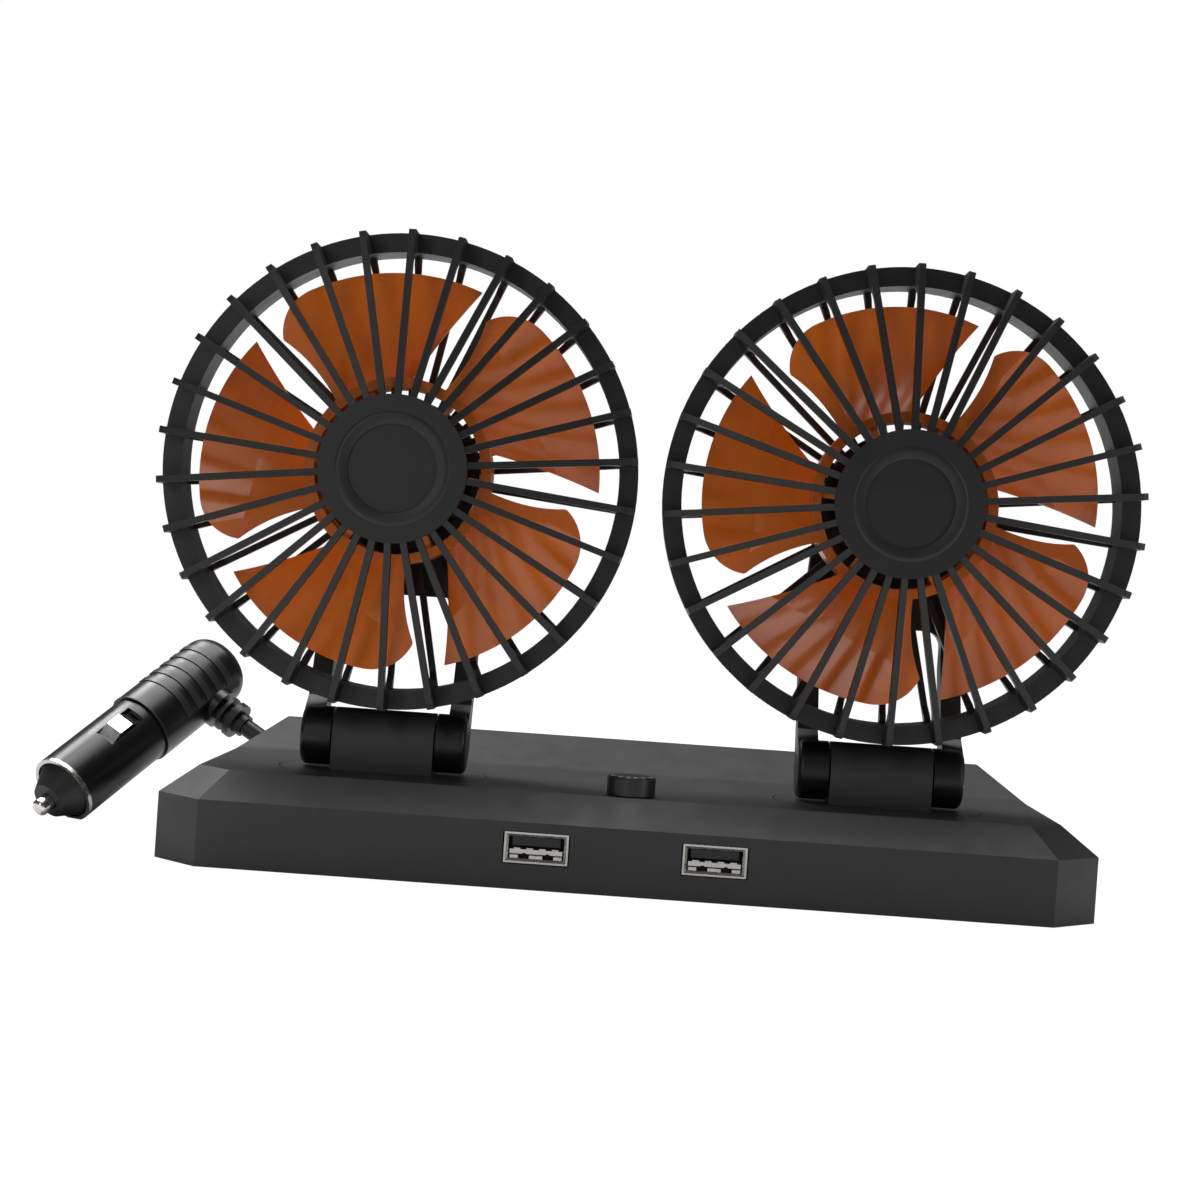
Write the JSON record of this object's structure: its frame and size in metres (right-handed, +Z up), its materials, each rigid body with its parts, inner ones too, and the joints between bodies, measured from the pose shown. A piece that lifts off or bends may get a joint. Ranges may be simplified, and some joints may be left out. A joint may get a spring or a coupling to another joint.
{
  "type": "dual head car fan",
  "caption": "Dashboard fan with two round caged heads that swivel and tilt on a low angular base, with charging sockets, a speed knob and a coiled lead ending in a lighter-socket plug.",
  "frame": {"origin": "centre of the base plan, on the surface it stands on", "axes": "+X to the right along the base, -Y towards the viewer (sockets and fan fronts), +Z up"},
  "size_m": [0.2628, 0.1733, 0.1467],
  "materials": {
    "base_plastic": "fine satin",
    "cover_plastic": "matte",
    "fan_plastic": "satin",
    "hinge_plastic": "satin",
    "blade_plastic": "glossy",
    "steel": "satin",
    "nickel": "bright",
    "motor_metal": "satin",
    "pad_rubber": "matte",
    "board": "satin",
    "component": "satin",
    "socket_plastic": "satin",
    "cord_rubber": "satin",
    "plug_plastic": "satin",
    "glass": "clear"
  },
  "bodies": {
    "base": {"anti_slip_pads": "pad_rubber", "base_shell": "base_plastic", "board_parts": "component", "board_screws": "steel", "bottom_cover": "cover_plastic", "circuit_board": "board", "cord_coil": "cord_rubber", "cord_gland": "cord_rubber", "cord_lead": "cord_rubber", "cord_run": "cord_rubber", "cover_screws": "steel", "pin_spring": "steel", "plug_body": "plug_plastic", "plug_fuse": "glass", "plug_handle": "plug_plastic", "plug_nose": "plug_plastic", "plug_relief": "cord_rubber", "plug_rim": "nickel", "side_contacts": "nickel", "speed_control": "component", "usb_shell_left": "nickel", "usb_shell_right": "nickel", "usb_tongue_left": "socket_plastic", "usb_tongue_right": "socket_plastic"},
    "turntable_left": {"turntable_left": "base_plastic", "retainer_ring_left": "cover_plastic", "retainer_screws_left": "steel", "hinge_pin_left": "steel"},
    "head_left": {"yoke_left": "hinge_plastic", "yoke_screws_left": "steel", "front_grille_left": "fan_plastic", "rear_grille_left": "fan_plastic", "motor_left": "motor_metal"},
    "rotor_left": {"impeller_left": "blade_plastic", "motor_shaft_left": "steel"},
    "turntable_right": {"turntable_right": "base_plastic", "retainer_ring_right": "cover_plastic", "retainer_screws_right": "steel", "hinge_pin_right": "steel"},
    "head_right": {"yoke_right": "hinge_plastic", "yoke_screws_right": "steel", "front_grille_right": "fan_plastic", "rear_grille_right": "fan_plastic", "motor_right": "motor_metal"},
    "rotor_right": {"impeller_right": "blade_plastic", "motor_shaft_right": "steel"},
    "knob": {"speed_knob": "hinge_plastic", "knob_stem": "steel"},
    "pin": {"center_pin": "nickel"}
  },
  "joints": [
    {"name": "swivel_left", "type": "hinge", "parent": "base", "child": "turntable_left", "pos_m": [-0.0579, -0.0134, 0.0216], "axis": [0, 0, 1], "range_deg": [-180, 180]},
    {"name": "tilt_left", "type": "hinge", "parent": "turntable_left", "child": "head_left", "pos_m": [-0.0579, -0.0134, 0.0289], "axis": [1, 0, 0], "range_deg": [-50, 40]},
    {"name": "spin_left", "type": "hinge", "parent": "head_left", "child": "rotor_left", "pos_m": [-0.0579, -0.0134, 0.0914], "axis": [0, 1, 0], "continuous": true},
    {"name": "swivel_right", "type": "hinge", "parent": "base", "child": "turntable_right", "pos_m": [0.0579, -0.0134, 0.0216], "axis": [0, 0, 1], "range_deg": [-180, 180]},
    {"name": "tilt_right", "type": "hinge", "parent": "turntable_right", "child": "head_right", "pos_m": [0.0579, -0.0134, 0.0289], "axis": [1, 0, 0], "range_deg": [-50, 40]},
    {"name": "spin_right", "type": "hinge", "parent": "head_right", "child": "rotor_right", "pos_m": [0.0579, -0.0134, 0.0914], "axis": [0, 1, 0], "continuous": true},
    {"name": "speed_turn", "type": "hinge", "parent": "base", "child": "knob", "pos_m": [0.0003, -0.0326, 0.0219], "axis": [0, 0, -1], "range_deg": [0, 270]},
    {"name": "pin_press", "type": "slide", "parent": "base", "child": "pin", "axis": [0.4899, 0.6998, 0.5199], "range_m": [0, 0.0025], "stiffness_N_per_m": 600, "springref_m": -0.001, "deforming": ["pin_spring"]}
  ]
}
